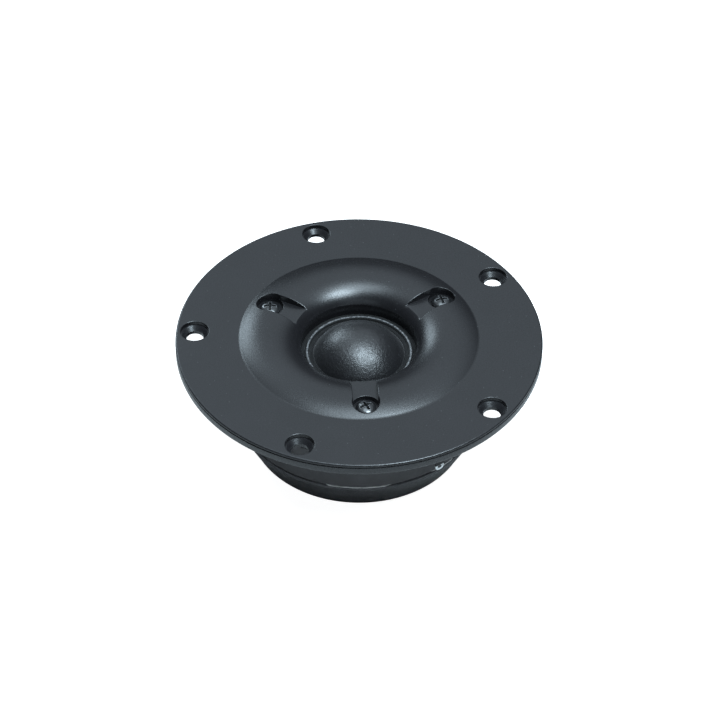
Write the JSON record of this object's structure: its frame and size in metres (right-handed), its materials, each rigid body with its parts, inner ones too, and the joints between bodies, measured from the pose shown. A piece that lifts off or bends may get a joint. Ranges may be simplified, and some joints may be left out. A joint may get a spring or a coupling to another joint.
{
  "type": "car tweeter",
  "caption": "Flush-mount car tweeter: round waveguide faceplate with screw recesses, soft dome on a half-roll surround, ring-magnet motor, rear cup and solder tags.",
  "frame": {"origin": "centre of the circle through the mounting holes, on the flange's rear seating face", "axes": "+Z out of the front along the dome's axis; +X through the mounting hole that lies in line with a faceplate screw; the solder tags are on +Y and -Y"},
  "size_m": [0.104, 0.104, 0.0376],
  "materials": {
    "faceplate_plastic": "fine satin texture",
    "black_screw": "black oxide, semi-gloss",
    "carrier_plastic": "satin",
    "gasket_rubber": "matt",
    "surround_cloth": "coated cloth, satin",
    "dome_cloth": "coated cloth, satin with fine weave",
    "copper_wire": "enamelled",
    "solder": "bright",
    "tinned_tag": "tinned, bright",
    "plated_steel": "black plated",
    "bright_steel": "turned",
    "copper_sheet": "drawn, bright",
    "ferrite": "ground, matt",
    "grey_felt": "felt",
    "cup_plastic": "satin gloss",
    "glue": "dried adhesive",
    "former_foil": "thin foil",
    "collar_paper": "kraft"
  },
  "bodies": {
    "root": {"faceplate": "faceplate_plastic", "faceplate_screws": "black_screw", "diaphragm_carrier": "carrier_plastic", "carrier_gasket": "gasket_rubber", "surround": "surround_cloth", "lead_out_wires": "copper_wire", "solder_joints": "solder", "terminal_positive": "tinned_tag", "terminal_negative": "tinned_tag", "terminal_rivets": "tinned_tag", "top_plate": "plated_steel", "magnet": "ferrite", "pole_piece": "bright_steel", "copper_cap": "copper_sheet", "pole_felt": "grey_felt", "back_plate": "plated_steel", "rear_cup": "cup_plastic", "chamber_felt": "grey_felt", "glue_bead": "glue"},
    "diaphragm": {"dome": "dome_cloth", "coil_former": "former_foil", "former_collar": "collar_paper", "voice_coil": "copper_wire"}
  },
  "joints": [
    {"name": "diaphragm_travel", "type": "slide", "parent": "root", "child": "diaphragm", "axis": [0, 0, 1], "range_m": [-0.0005, 0.0005], "stiffness_N_per_m": 300, "deforming": ["surround", "lead_out_wires"]}
  ]
}
